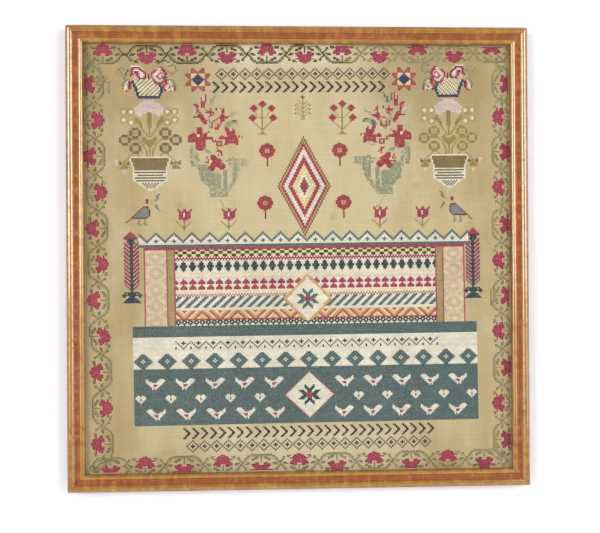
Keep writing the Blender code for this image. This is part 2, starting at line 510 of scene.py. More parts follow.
def work_spray(needle, leaf, foliage, seed):
    """Loose spray of crimson lilies over worn foliage."""
    worn = np.random.default_rng(seed)

    def worn_shape(points, threads, missing):
        needle.shape(points, threads[0])
        corners = np.array([needle.place(*point) for point in points])
        for c in range(int(corners[:, 0].min()), int(corners[:, 0].max()) + 1):
            streak = worn.random() < 0.45
            for r in range(int(corners[:, 1].min()), int(corners[:, 1].max()) + 1):
                if needle.worked(c, r) == threads[0]:
                    gone = worn.random() < missing
                    needle.put(c, r, None if gone else threads[streak])

    strong, pale = (foliage, "foliage_deep"), ("foliage_light", foliage)
    for points, threads, missing in (
        ([(-12, 12), (-5, 11), (-1, 17), (4, 18), (5, 34.4), (-1, 35.6), (-3, 29),
          (-9, 23)], strong, 0.10),
        ([(5.4, 16), (8.4, 16), (8.4, 30), (6, 30)], strong, 0.04),
        ([(8, 9), (14, 6), (17, 10), (12, 15)], pale, 0.2),
        ([(15, 8), (23.4, 7), (24, 12), (18, 14), (16, 22), (11, 30), (8, 34.6), (7, 31.2),
          (12, 23), (12, 14)], pale, 0.10),
        ([(-3, 30), (8.4, 30), (8.4, 35.6), (-3, 35.6)], strong, 0.15),
        ([(-15.4, -2.4), (-12.6, -2.4), (-10.6, 10), (-12, 12), (-14.4, 9)], pale, 0.06),
        ([(-13.4, 2), (-11, 3), (-9, 12), (-12.6, 12)], strong, 0.2),
        ([(-16.4, 1), (-14.4, 1), (-14, 9), (-12, 14), (-15, 13.4), (-16, 10)], strong,
         0.15),
        ([(-3.6, -32), (-2, -36), (2.6, -40), (1, -35), (-0.6, -31)],
         (leaf, foliage), 0.0),
        ([(6, -15.6), (9, -19.6), (13.4, -21), (18, -18.4), (13, -17), (10, -15)],
         (leaf, "foliage_deep"), 0.0),
        ([(-4.4, -22), (-2, -21), (-0.4, -15), (-3, -14)], strong, 0.1),
        ([(-7.4, 0), (-3, 1.4), (-1, 4), (-5, 3)], strong, 0.0),
    ):
        worn_shape(points, threads, missing)
    needle.line([(11, -24), (15, -26)], foliage, 2)
    needle.line([(9, -1), (13, -2)], "foliage_light")
    needle.oval(-14, -15, 2, 1, "foliage_light")
    needle.line([(2, 37), (4, 38), (5, 42), (7, 44)], "stem_pink")
    needle.line([(8, 44), (10, 45)], "foliage_deep")
    needle.line([(-13, -28), (-12, -26)], "lilac", 2)

    for points in (
        [(-9, -34.6), (-6, -34.6), (-5.4, -31), (-6, -29.6), (-8.8, -29.6)],
        [(-14.4, -32.4), (-10, -32), (-9, -30), (-10.6, -29)],
        [(-10, -25), (-8, -26), (-5.4, -22), (-4, -18), (-6, -17.4), (-10, -22.4)],
        [(4.6, -24.4), (6.4, -24.4), (10.4, -23), (7, -20.4), (5, -19)],
        [(-11.4, -15), (-7.6, -15), (-7.4, -10.6), (-4.6, -11.4), (-4.4, -6.6), (-9, -6),
         (-11.4, -8)],
        [(-18, -7.4), (-16, -10.6), (-13, -11.4), (-11, -10), (-11, -6), (-13.6, -4.4),
         (-17, -4.6)],
        [(-12.6, -7), (-5.4, -7), (-5, -2), (-7.4, 1.4), (-11.4, 1.6), (-12.6, -1)],
        [(7.6, -15), (9.6, -15), (11.6, -12), (12, -7), (10, -7), (8.4, -11)],
        [(11.6, -12), (13, -14.4), (14.6, -13), (14.6, -7), (11.6, -7)],
        [(7.4, -8.4), (15, -10), (16.6, -6), (17, -2.4), (15, -2.4), (13.4, -3.8), (9.6, -3.8),
         (8.6, -2.4), (7, -3)],
        [(3.4, -7.6), (5.6, -10.6), (6.6, -8.4), (8, -8), (8, -6), (4, -6.4)],
        [(-2, 5), (0.6, 5), (4, 8.4), (4.4, 12.4), (-2, 13)],
        [(1, 9.4), (4, 7.6), (5.6, 9), (4, 10.6), (6.6, 11), (8, 13), (6, 15.4), (3.4, 15),
         (1, 12)],
        [(-4.4, 13.4), (-1, 10.4), (1.4, 13), (0, 15.6), (-1.6, 17), (-3.6, 15.4)],
    ):
        needle.shape(points, "red")
    for points, width in (
        ([(-8, -37), (-8, -34)], 1), ([(-5, -39), (-5, -34)], 2),
        ([(-11, -29), (-10, -26)], 2), ([(-5, -27), (0, -26)], 2),
        ([(-2, -29), (-2, -24)], 1), ([(-1, -24), (0, -25)], 1),
        ([(6, -29), (7, -26)], 2), ([(6, -26), (6, -24)], 1),
        ([(-1, -19), (0, -20), (4, -22)], 1),
        ([(-1, -18), (-1, -16), (1, -14), (3, -15), (4, -18), (6, -20)], 2),
        ([(-5, -11), (-3, -12)], 1), ([(-5, -8), (-1, -7), (1, -5)], 2),
        ([(-1, -5), (1, -5)], 1), ([(17, -9), (18, -8)], 2),
        ([(2, 1), (4, 2), (5, 4), (4, 5)], 2),
        ([(-5, 6), (-4, 9)], 1), ([(-6, 10), (-3, 10)], 2),
    ):
        needle.line(points, "red", width)
    needle.box(2, -5, 5, -2, "red")
    needle.box(3, -4, 4, -3, "petal_tan")
    needle.line([(-13, -23), (-10, -23)], "crimson_dark")
    needle.line([(13, -20), (15, -20)], "crimson_dark")
    needle.dots([(2, -28), (2, -29), (-3, -23)], "crimson_dark")
    needle.box(1, -18, 2, -16, "petal_tan")
    needle.line([(-7, -38), (-7, -35)], "lilac")
    for petal in ((-16, -7), (-14, -8), (-9, -3), (-8, -1), (10, -6), (13, -6),
                  (1, 9), (4, 12)):
        needle.box(petal[0], petal[1], petal[0] + 1, petal[1], "red_soft")
    needle.box(-11, -10, -10, -9, "yellow")
    needle.box(-3, 9, -2, 10, "yellow")


# ------------------------------------------------------------------------------ pattern bands

PANEL_LEFT, PANEL_RIGHT = -105, 115
FIELD_LEFT, FIELD_RIGHT = -113, 123
MIDDLE = 5


def zigzag(c, period):
    """Height of a regular zigzag over column c, from 0 to half the period."""
    place = (c - MIDDLE) % period
    return min(place, period - place)


def spot_lattice(needle, left, right, top, height=8):
    """Two crossing zigzags with a spot in each diamond."""
    for c in range(left, right + 1):
        lift = zigzag(c, 2 * height)
        needle.dots([(c, top + lift), (c, top + height - lift)], "ink")
        if lift in (0, height):
            needle.spot(c, top + height // 2, "ink")


def spot_chevrons(needle, first_tip, last_tip, top, height=8):
    """Lying chevrons, one behind another."""
    for tip in range(first_tip, last_tip + 1, 6):
        for row in range(height):
            lean = int(abs(row - (height - 1) / 2))
            needle.box(tip - lean, top + row, tip - lean + 1, top + row, "ink")


def spot_wave(needle, left, right, top):
    """One zigzag with a small cross in each dip and a spot under each peak."""
    for c in range(left, right + 1):
        lift = zigzag(c, 10)
        needle.dot(c, top + lift, "ink")
        if lift == 5:
            needle.spot(c, top + 1, "ink")
        if lift == 0:
            needle.dots([(c, top + 4), (c, top + 5)], "ink")


def work_running_bands():
    """Dark spot bands above and below the middle."""
    needle = Needle("running_bands")
    spot_lattice(needle, -55, 65, -138)
    spot_chevrons(needle, -54, 60, -128)
    spot_chevrons(needle, -78, 90, 123)
    spot_lattice(needle, -79, 89, 132)


def work_bloom(needle, c, r):
    """Round bloom with a pale eye on a short stem."""
    needle.line([(c, r + 5), (c, r + 11)], "crimson_dark")
    needle.oval(c, r, 5, 5, "red")
    needle.box(c - 1, r - 1, c + 1, r + 1, "petal_tan")
    needle.dot(c, r, "crimson_soft")


def work_medallion():
    """Tall lozenge of nested bands with blooms round it and tulips below."""
    needle = Needle("medallion").at(MIDDLE - 1)
    half = 36
    bands = ("brown", "tan", "crimson", "crimson", "cream", "cream", "cream", "crimson",
             "crimson", "crimson", "yellow", "yellow", "yellow", "cream", "cream", "brown",
             "crimson", "crimson", "crimson")
    for row in range(-half, half + 1):
        reach = (half - abs(row)) // 2
        for across in range(-reach, reach + 1):
            needle.dot(across, -52 + row, bands[min(reach - abs(across), len(bands) - 1)])
    for side in needle.halves():
        work_bloom(side, 25, -78)
        work_bloom(side, 27, -40)
    for c in (-82, -52, 52, 82):
        tulip = needle.at(c)
        tulip.line([(0, -21), (0, -28)], "olive")
        for side in tulip.halves():
            side.line([(5, -27), (1, -23)], "olive")
        tulip.shape([(-4.5, -37), (-1, -34), (0.5, -38), (2, -34), (5.5, -37), (4, -29),
                     (0.5, -27.4), (-3, -29)], "crimson")
        tulip.box(0, -33, 0, -31, "cream")


def work_dogtooth():
    """Pale teeth with teal outlines along the top of the panel."""
    needle = Needle("dogtooth")
    for c in range(PANEL_LEFT - 3, PANEL_RIGHT + 4):
        height = zigzag(c, 12)
        for r in range(-20, -8):
            if r > -11:
                needle.dot(c, r, "teal")
            elif r > -12 - height:
                needle.dot(c, r, "cream")
            elif r > -14 - height:
                needle.dot(c, r, "teal")
    for c in range(MIDDLE - 102, MIDDLE + 105, 12):
        needle.spot(c, -13, "teal")


def panel_thread(place, r):
    """Traditional bands: checks, spindles, fine zigzags, arrowheads, slanting bars and twill."""
    fine = min(place % 4, 4 - place % 4)
    beat = abs((place + 3) % 6 - 3)
    if r <= -7 or r in (0, 44):
        return "crimson"
    if r <= -2:
        return ("yellow", "teal_dark")[(place // 3 + (r + 7) // 2) % 2]
    if r == -1 or r == 1:
        return "crimson" if (place + r // 2) % 2 else "cream"
    if r <= 9:
        spindle = (0, 1, 1, 2, 2, 1, 1, 0)[r - 2]
        return "teal_dark" if beat <= spindle and (place + 3) % 6 else "cream"
    if r <= 12:
        return "yellow" if fine == r - 10 else "cream"
    if r <= 14:
        return "lilac" if (place // 2 + r) % 2 else "cream"
    if r <= 22:
        return "crimson" if beat <= (0, 1, 2, 2)[(r - 15) % 4] else "cream"
    if r <= 25:
        return "yellow" if fine == r - 23 else "cream"
    if r <= 27:
        return "crimson" if (place + r) % 2 else "cream"
    if r <= 35:
        return "teal" if (place + r) % 6 < 3 else "cream"
    if r <= 37:
        return "cream"
    if r <= 43:
        way = 1 if place // 12 % 2 else -1
        return ("tan", "crimson_soft", "yellow")[(way * place + r) % 6 // 2]
    return "teal_dark" if fine + abs(r - 46) in (1, 2) else "cream"


def side_thread(across, r):
    """Upright side bands of pale lozenges with an olive strip."""
    if across in (0, 15, 20):
        return "crimson_soft"
    if across > 15:
        return "olive_soft"
    reach = abs(across - 7.5) + abs((r + 8) % 12 - 6) * 1.1
    return ("straw", "sand", "dusk", "sand")[int(reach / 1.8) % 4]


def work_panel():
    upper, lower = Needle("panel_upper"), Needle("panel_lower")
    for c in range(PANEL_LEFT, PANEL_RIGHT + 1):
        from_side = min(c - PANEL_LEFT, PANEL_RIGHT - c)
        for r in range(-8, 49):
            needle = upper if r < 19 else lower
            reserve = abs(c - MIDDLE) + abs(r - 30) * 0.9
            if from_side < 21 and r > -7:
                thread = side_thread(from_side, r)
            elif reserve < 17 and r < 46:
                thread = "cream" if reserve < 14.6 else "tan"
            else:
                thread = panel_thread(c - MIDDLE, r)
            needle.dot(c, r, thread)
    lower.chart(MIDDLE, 30, [row.replace("w", "t") for row in STAR])


def work_cream_band():
    """Pale band of stepped teal diamonds under a dark spot line, and the teal bar above it."""
    bar, band = Needle("teal_bar"), Needle("pale_band")
    for c in range(FIELD_LEFT, FIELD_RIGHT + 1):
        for r in range(49, 57):
            bar.dot(c, r, "teal")
        for r in range(57, 80):
            band.dot(c, r, "cream")
    spot_wave(band, -85, 95, 60)
    for middle in range(MIDDLE - 112, MIDDLE + 113, 16):
        for row in range(-5, 7):
            reach = 6 - abs(row) if row < 6 else 1
            band.box(middle - reach, 74 + row, middle + reach, 74 + row, "teal")
        band.dots([(middle, 73), (middle - 1, 74), (middle + 1, 74), (middle, 75)], "cream")


STAR = mirrored("....w...", "....ww..", "....www.", ".....www", "wwww..ww", ".wwww.wc", "..wwwwcc",
                "...wwccc", down=True)
DOVE = """
.www........w
wwwww......ww
.wwwww...wwww
..wwwwwwwwww.
...wwcccwww..
....wwccww...
.....wwww....
......w.w....
""".split()
BLOOM = mirrored(".ww.", "wwww", "wwwc", ".wwc", "..ww", "...w")


def work_teal_field():
    """Teal ground with pale doves and blooms, and a star in a pale lozenge."""
    left, right = Needle("teal_field_left"), Needle("teal_field_right")
    left.box(FIELD_LEFT, 80, MIDDLE, 120, "teal")
    right.box(MIDDLE + 1, 80, FIELD_RIGHT, 120, "teal")
    for side, needle in ((-1, left), (1, right)):
        rows = DOVE if side > 0 else [row[::-1] for row in DOVE]
        for step in range(5):
            c = MIDDLE + side * (24 + 20 * step)
            needle.chart(c, 90, rows)
            needle.chart(c + side * 10, 101, BLOOM)
            needle.chart(c, 112, [row[::-1] for row in rows])
        for r in range(84, 117):
            reach = 17 - abs(r - 100)
            inner, outer = sorted((MIDDLE + (side > 0), MIDDLE + side * reach))
            needle.box(inner, r, outer, r, "cream")
            needle.dot(MIDDLE + side * reach, r, "crimson")
    star = [row.replace("w", "d") for row in STAR]
    left.chart(MIDDLE, 100, [row[:8] + "." * 7 for row in star])
    right.chart(MIDDLE, 100, ["." * 8 + row[8:] for row in star])


def work_everything():
    work_border()
    small = Needle("stars_and_sprigs")
    work_star(small.at(-67, -130))
    work_star(small.at(75, -130))
    work_sprig(small.at(-24, -90))
    work_sprig(small.at(31, -90))
    work_small_sprig(small.at(4, -101))
    for piece, work, place, left, partner, right in (     # motifs with a partner on the right
        ("baskets", work_basket, (-101, -129), (), (6,), ()),
        ("urns", work_urn, (-100, 0), "f", (6,), "o"),
        ("birds", work_bird, (-103, -38), ("wing",), (5,), ("shadow_green",)),
        ("tree_columns", work_tree_column, (-114, -20), (), (8,), ()),
        ("sprays", work_spray, (-57, -80), ("foliage", "foliage", 4),
         (5, -1), ("teal", "foliage_deep", 9)),
    ):
        work(Needle(piece).at(*place), *left)
        work(Needle(piece, *partner).at(*place), *right)
    work_running_bands()
    work_medallion()
    work_dogtooth()
    work_panel()
    work_cream_band()
    work_teal_field()
    Needle("border").line([(134, 25), (134, 37)], "olive")


# ------------------------------------------------------------------------------ cloth surface

def cloth_height(x, z):
    """How far the stretched sheet stands forward of its clamped edges; x, z from the middle."""
    across = 2 * x / CLOTH_SIDE
    up = 2 * z / CLOTH_SIDE
    from_lip = FRAME_SIDE / 2 - RAIL_WIDTH - np.maximum(np.abs(x), np.abs(z))
    loose = np.clip(from_lip / CLOTH_CLAMPED_BAND, 0, 1)
    swell = CLOTH_SWELL * (1 - across ** 2) * (1 - up ** 2)
    lengthways = 1 + np.sin(7.0 * across + 1.6 * up + 0.4)
    crossways = 1 + np.sin(5.2 * up - 2.3 * across + 1.9)
    return swell + CLOTH_WAVE * loose * (0.6 * lengthways + 0.4 * crossways)


def cloth_front(x, z):
    return -(REBATE_DEPTH - GAP) - cloth_height(x, z)


def grid_place(c, r):
    """Place of a grid point on the cloth, from the frame's middle."""
    x = PITCH_X * (c - SPREAD * c * c) + LEAN * PITCH_Z * r
    z = -PITCH_Z * r + RISE * x
    return x, z


def add_object(name, data):
    thing = bpy.data.objects.new(name, data)
    bpy.context.scene.collection.objects.link(thing)
    return thing


def add_mesh(name, points, faces, uv_by_point):
    """A smooth mesh of triangles or of quads, with its planar map."""
    mesh = bpy.data.meshes.new(name)
    corners = faces.shape[1]
    mesh.vertices.add(len(points))
    mesh.loops.add(faces.size)
    mesh.polygons.add(len(faces))
    mesh.vertices.foreach_set("co", np.asarray(points, np.float32).ravel())
    mesh.loops.foreach_set("vertex_index", faces.astype(np.int32).ravel())
    mesh.polygons.foreach_set("loop_start", np.arange(0, faces.size, corners, dtype=np.int32))
    mesh.update(calc_edges=True)
    mesh.validate()
    layer = mesh.uv_layers.new(name="OFBake")
    layer.data.foreach_set("uv", uv_by_point[faces.ravel()].astype(np.float32).ravel())
    mesh.shade_smooth()
    return add_object(name, mesh)


def planar_map(x, z):
    """The front's place in the bake map."""
    return np.stack([0.5 + x / (CLOTH_SIDE * 1.02), 0.5 + z / (CLOTH_SIDE * 1.02)], axis=-1)


def add_cloth():
    """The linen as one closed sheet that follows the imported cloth."""
    count = CLOTH_CELLS + 1
    side = np.linspace(-CLOTH_SIDE / 2, CLOTH_SIDE / 2, count)
    x, z = np.meshgrid(side, side)
    x, z = x.ravel(), z.ravel()
    front = np.stack([x, cloth_front(x, z), z + CENTRE_Z], axis=-1)
    back = front + np.array([0, CLOTH_THICKNESS, 0])
    points = np.concatenate([front, back])
    behind = count * count
    place = np.arange(behind).reshape(count, count)
    cells = np.stack([place[:-1, :-1], place[:-1, 1:], place[1:, 1:], place[1:, :-1]], axis=-1)
    cells = cells.reshape(-1, 4)
    faces = [cells, cells[:, (0, 3, 2, 1)] + behind]
    rim = np.concatenate([place[0, :-1], place[:-1, -1], place[-1, :0:-1], place[:0:-1, 0]])
    following = np.roll(rim, -1)
    faces.append(np.stack([rim, rim + behind, following + behind, following], axis=-1))
    cloth = add_mesh("linen_ground", points, np.concatenate(faces),
                     np.concatenate([planar_map(x, z)] * 2))
    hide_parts("sampler_cloth")
    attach(cloth, "root")
    return cloth


# ------------------------------------------------------------------------------ crosses

ARM_HALF_WIDTH = 0.31            # shares of the pitch
ARM_STATIONS = ((-0.5, 0), (-0.27, -1), (-0.27, 0), (-0.27, 1),
                (0.27, -1), (0.27, 0), (0.27, 1), (0.5, 0))
ARM_FACES = ((0, 2, 1), (0, 3, 2), (1, 2, 4), (2, 5, 4),
             (2, 3, 5), (3, 6, 5), (4, 5, 7), (5, 6, 7))
UNDER_SIDE, UNDER_RIDGE = 0.00003, 0.00036
OVER_SIDE, OVER_RIDGE = 0.00022, 0.00056
HOLE_DEPTH = 0.00005
UNEVEN_PLACE = 0.00004           # spread of a cross's place, and of its strands' ends in pitches
UNEVEN_END = 0.018
STRAND_LENGTH = 2.6              # of an arm, in widths of its strand
VINE_TONES = {                   # kept and faded colour of the vine's threads
    "vine": ((78, 76, 48), (150, 138, 104)),
    "vine_pale": ((142, 130, 84), (162, 148, 110)),
    "vine_leaf": ((74, 80, 52), (144, 140, 98)),
}


def soft_noise(c, r, size, seed):
    """Smooth noise over the grid, from -1 to 1, with features about that many stitches wide."""
    source = np.random.default_rng(seed)
    cells = int(2 * GRID_HALF / size) + 3
    values = source.uniform(-1, 1, (cells, cells))
    u, v = (c + GRID_HALF) / size, (r + GRID_HALF) / size
    iu, iv = np.floor(u).astype(int), np.floor(v).astype(int)
    fu, fv = u - iu, v - iv
    fu, fv = fu * fu * (3 - 2 * fu), fv * fv * (3 - 2 * fv)
    low = values[iv, iu] * (1 - fu) + values[iv, iu + 1] * fu
    high = values[iv + 1, iu] * (1 - fu) + values[iv + 1, iu + 1] * fu
    return low * (1 - fv) + high * fv


def wool_colours(c, r, threads):
    """Dyed colour of each stitch, with the skein's and the light's unevenness."""
    table = np.array([linear(THREADS[name]) for name in THREAD_NAMES])
    under = np.array([linear(THREADS[UNDERLAID.get(name, name)]) for name in THREAD_NAMES])
    colours = table[threads]
    strong, lost = top_border(c, r)
    strong = strong[:, None]
    faded = 0.5 + 0.4 * soft_noise(c, r, 5, 3) + 0.4 * np.clip(c / 130, -0.2, 1) + 0.4 * lost
    faded = np.clip(faded, 0, 1)[:, None]
    for name, (dark, pale) in VINE_TONES.items():
        chosen = threads == THREAD_NAMES.index(name)
        kept = colours * (1 - faded) + linear(pale) * faded
        colours[chosen] = (kept * (1 - strong) + linear(dark) * strong)[chosen]
    by_row = np.random.default_rng(8).standard_normal(grid_size)
    tone = 1 + 0.06 * soft_noise(c, r, 9, 5) + 0.04 * soft_noise(c, r, 31, 6)
    tone *= 1 + 0.05 * random.standard_normal(len(c))
    tone *= 1 + 0.03 * by_row[r + GRID_HALF]
    arms = [np.where((threads == THREAD_NAMES.index("lattice"))[:, None], under[threads], colours),
            colours]
    return [np.clip(arm * tone[:, None], 0.002, 0.95) for arm in arms]


def add_crosses(name):
    """All crosses of one piece: under arm, then over arm, each with a raised ridge."""
    rows, columns = np.nonzero((piece_at == PIECES.index(name)) & (thread_at != BARE))
    c, r = columns - GRID_HALF, rows - GRID_HALF
    x, z = grid_place(c, r)
    seen = np.maximum(np.abs(x), np.abs(z)) < WORKED_REACH
    c, r, x, z = c[seen], r[seen], x[seen], z[seen]
    colours = wool_colours(c, r, thread_at[rows[seen], columns[seen]])
    count = len(c)
    x = x + random.normal(0, UNEVEN_PLACE, count)
    z = z + random.normal(0, UNEVEN_PLACE, count)
    fullness = random.normal(1, 0.09, count)
    points, strand, faces = [], [], []
    for arm, slant in enumerate((-1, 1)):
        sides, ridge = ((UNDER_SIDE, UNDER_RIDGE), (OVER_SIDE, OVER_RIDGE))[arm]
        for along, across in ARM_STATIONS:
            u = (along + UNEVEN_END * random.standard_normal(count)) * slant
            v = along + UNEVEN_END * random.standard_normal(count)
            spread = across * ARM_HALF_WIDTH * fullness / math.sqrt(2)
            px = x + PITCH_X * (u + spread)
            pz = z + PITCH_Z * (v - slant * spread) + RISE * PITCH_X * u
            lift = (sides if across else ridge) * fullness
            if abs(along) == 0.5:
                lift = -HOLE_DEPTH
            points.append(np.stack([px, cloth_front(px, pz) - lift, pz + CENTRE_Z], axis=-1))
            strand.append(np.tile((along * STRAND_LENGTH, across * 0.5, 0.0), (count, 1)))
        faces += [np.array(face[::slant]) + 8 * arm for face in ARM_FACES]
    points = np.stack(points, axis=1).reshape(-1, 3)
    strand = np.stack(strand, axis=1).reshape(-1, 3)
    base = np.arange(count)[:, None, None] * 16
    faces = (np.array(faces)[None] + base).reshape(-1, 3)
    crosses = add_mesh("crosses_" + name, points, faces,
                       planar_map(points[:, 0], points[:, 2] - CENTRE_Z))
    mesh = crosses.data
    paint = mesh.attributes.new("thread", "FLOAT_COLOR", "POINT")
    rgb = np.stack([colours[arm] for arm in (0, 1) for _ in range(8)], axis=1).reshape(-1, 3)
    rgba = np.concatenate([rgb, np.ones((count * 16, 1))], axis=1)
    paint.data.foreach_set("color", rgba.astype(np.float32).ravel())
    lay = mesh.attributes.new("strand", "FLOAT_VECTOR", "POINT")
    lay.data.foreach_set("vector", strand.astype(np.float32).ravel())
    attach(crosses, "root")
    return crosses


# ------------------------------------------------------------------------------ materials

class Value:
    """An output of a material's nodes that takes ordinary arithmetic."""

    def __init__(self, recipe, socket):
        self.recipe, self.socket = recipe, socket

    def math(self, operation, second=0.0):
        return self.recipe.math(operation, self, second)

    def __add__(self, other):
        return self.math("ADD", other)

    def __sub__(self, other):
        return self.math("SUBTRACT", other)

    def __rsub__(self, other):
        return self.recipe.math("SUBTRACT", other, self)

    def __mul__(self, other):
        return self.math("MULTIPLY", other)

    def __truediv__(self, other):
        return self.math("DIVIDE", other)

    def __pow__(self, other):
        return self.math("POWER", other)

    def __abs__(self):
        return self.math("ABSOLUTE")

    def range(self, low, high, to_low=0.0, to_high=1.0, smooth=False):
        return self.recipe.node("MapRange", dict(enumerate((self, low, high, to_low, to_high))),
                                interpolation_type="SMOOTHSTEP" if smooth else "LINEAR")


class Recipe:
    """Short calls for building a material's node tree, with the colour so far."""

    def __init__(self, name, colour=None):
        self.material = bpy.data.materials.new(name)
        self.material.use_nodes = True
        self.nodes = self.material.node_tree.nodes
        self.links = self.material.node_tree.links
        self.shader = self.nodes["Principled BSDF"]
        self.place = self.node("TexCoord", {}, "Object")
        self.colour = colour

    def feed(self, socket, value):
        if isinstance(value, Value):
            self.links.new(value.socket, socket)
        elif isinstance(value, (tuple, np.ndarray)):
            values = [float(v) for v in value]
            size = len(socket.default_value)
            socket.default_value = (values + [1.0])[:size] if len(values) < size else values
        else:
            socket.default_value = value

    def node(self, kind, inputs, output=0, **settings):
        """A new node with its settings and inputs, as one of its outputs."""
        node = self.nodes.new("ShaderNode" + kind)
        for key, value in settings.items():
            setattr(node, key, value)
        for key, value in inputs.items():
            self.feed(node.inputs[key], value)
        return Value(self, node.outputs[output])

    def math(self, operation, first, second):
        return self.node("Math", {0: first, 1: second}, operation=operation)

    def mix(self, share, first, second, blend="MIX"):
        return self.node("Mix", {0: share, 6: first, 7: second}, 2, data_type="RGBA",
                         blend_type=blend)

    def tint(self, share, colour):
        """Lays a linear colour, or a tuple as it is to be seen, over the colour so far."""
        colour = seen_as(colour) if isinstance(colour, tuple) else colour
        self.colour = self.mix(share, self.colour, colour)

    def split(self, vector):
        first = self.node("SeparateXYZ", {0: vector})
        return [Value(self, socket) for socket in first.socket.node.outputs]

    def noise(self, scale, detail=3.0, roughness=0.5, stretch=None):
        place = self.place
        if stretch:
            place = self.node("Mapping", {"Vector": place, "Scale": stretch})
        return self.node("TexNoise", {"Vector": place, "Scale": scale, "Detail": detail,
                                      "Roughness": roughness})

    def ramp(self, value, stops):
        ramp = self.node("ValToRGB", {0: value})
        elements = ramp.socket.node.color_ramp.elements
        while len(elements) < len(stops):
            elements.new(0.5)
        for element, (place, colour) in zip(elements, stops):
            element.position = place
            element.color = (*[float(v) for v in colour], 1.0)
        return ramp

    def bump(self, height, distance, strength):
        self.feed(self.shader.inputs["Normal"], self.node(
            "Bump", {"Strength": strength, "Distance": distance, "Height": height}))

    def finish(self, roughness, **settings):
        self.feed(self.shader.inputs["Base Color"], self.colour)
        self.feed(self.shader.inputs["Roughness"], roughness)
        for key, value in settings.items():
            self.feed(self.shader.inputs[key.replace("_", " ")], value)
        return self.material


LIGHT_LEVEL = 1.15               # how much brighter than paper white the light makes a white wall
LINEN_MIDDLE = (211, 197, 158)
LINEN_SIDES = (179, 158, 115)
LINEN_PALE = (224, 214, 184)
# Painted shade: darker linen in the upper corners and under the top rail on the right
LINEN_PAINTED_SHADE = (160, 141, 100)
# Painted light: paler linen beside the frame's lip, set against its shadow
LINEN_PAINTED_LIGHT = (208, 192, 152)
LINEN_STAIN = (186, 150, 92)
LINEN_CLOUD_DARK = (198, 174, 122)
LINEN_CLOUD_PALE = (222, 208, 174)
LINEN_SLUB = (150, 128, 88)
LINEN_HOLE = (120, 98, 62)
STAINS = ((-0.1555, 0.0678, 0.010), (0.1520, 0.0935, 0.009), (0.044, 0.052, 0.007))


def seen_as(colour):
    return linear(colour) / LIGHT_LEVEL


def linen_material():
    recipe = Recipe("aged_linen", seen_as(LINEN_MIDDLE))
    x, _, z = recipe.split(recipe.place)
    up = z - CENTRE_Z
    aside = abs(x - 0.008)

    def distance(centre_x, centre_z):
        dx, dz = x - centre_x, up - centre_z
        return (dx * dx + dz * dz).math("SQRT")

    cloud = recipe.noise(26.0, 4.0, stretch=(1, 1, 0.35))
    folds = recipe.noise(1.0, stretch=(44, 1, 2.5))
    toned = (abs((x - 0.010) / 0.27) ** 2.2).math("MAXIMUM", abs((up - 0.03) / 0.30) ** 3.0 * 0.75)
    toned = toned + cloud.range(0.3, 0.7, -0.24, 0.24) + folds.range(0.3, 0.7, -0.14, 0.14)
    recipe.tint(toned.range(0.05, 0.95), LINEN_SIDES)
    # The pale band along the top fades out right of the middle, leaving painted shade under the
    # top rail there
    near_top = up.range(0.235, 0.262, smooth=True) * x.range(0.035, 0.085, 1.0, 0.3, smooth=True)
    near_bottom = up.range(-0.236, -0.208, 0.55, 0.0, smooth=True)
    near_middle = aside.range(0.075, 0.155, 1.0, 0.0, smooth=True)
    recipe.tint((near_top + near_bottom) * near_middle, LINEN_PALE)
    # Painted shade: darker towards the upper corners, away from the middle
    recipe.tint(up.range(0.12, 0.23) * aside.range(0.08, 0.15, 0.0, 0.5), LINEN_PAINTED_SHADE)
    # Painted light: a paler strip along the right lip and the lower left edge, lifting the frame's
    # shadow on the cloth
    left_edge_painted_light = x.range(-0.270, -0.250, 0.45, 0.0) * up.range(-0.10, 0.0, 1.0, 0.0)
    recipe.tint(x.range(0.238, 0.262, 0.0, 0.5).math("MAXIMUM", left_edge_painted_light), LINEN_PAINTED_LIGHT)
    # Painted shade: a soft dark spot under the top rail, right of the middle
    recipe.tint(distance(0.142, 0.228).range(0.02, 0.08, 0.5, 0.0, smooth=True), LINEN_PAINTED_SHADE)
    for stain_x, stain_z, reach in STAINS:
        ragged = distance(stain_x, stain_z) + cloud.range(0.3, 0.7, -0.003, 0.003)
        recipe.tint(ragged.range(0.0, reach, 0.62, 0.0, smooth=True), LINEN_STAIN)
    blotch = recipe.noise(19.0, 4.0, 0.6, (1, 1, 0.6))
    recipe.tint(blotch.range(0.52, 0.70, 0.0, 0.45), LINEN_CLOUD_DARK)
    recipe.tint(blotch.range(0.32, 0.46, 0.3, 0.0), LINEN_CLOUD_PALE)
    rows = recipe.noise(1.0, 2.0, 0.6, (16, 1, 640))
    columns = recipe.noise(1.0, 2.0, 0.6, (640, 1, 16))
    slubs = rows.range(0.25, 0.75, -1, 1) + columns.range(0.25, 0.75, -0.7, 0.7)
    recipe.tint(slubs.range(-1.5, 1.5, 0.0, 0.32), LINEN_SLUB)
    weft = (z * (4 * math.pi / PITCH_Z)).math("SINE")
    weave = weft * (x * (4 * math.pi / PITCH_X)).math("SINE")
    recipe.tint(weave.range(-1, 1, 0.16, 0.0), LINEN_HOLE)
    recipe.bump(weave * 0.6 + slubs * 0.35, 0.00022, 0.7)
    return recipe.finish(slubs.range(-1.5, 1.5, 0.82, 0.94), Specular_IOR_Level=0.18,
                         Sheen_Weight=0.12, Sheen_Roughness=0.5)


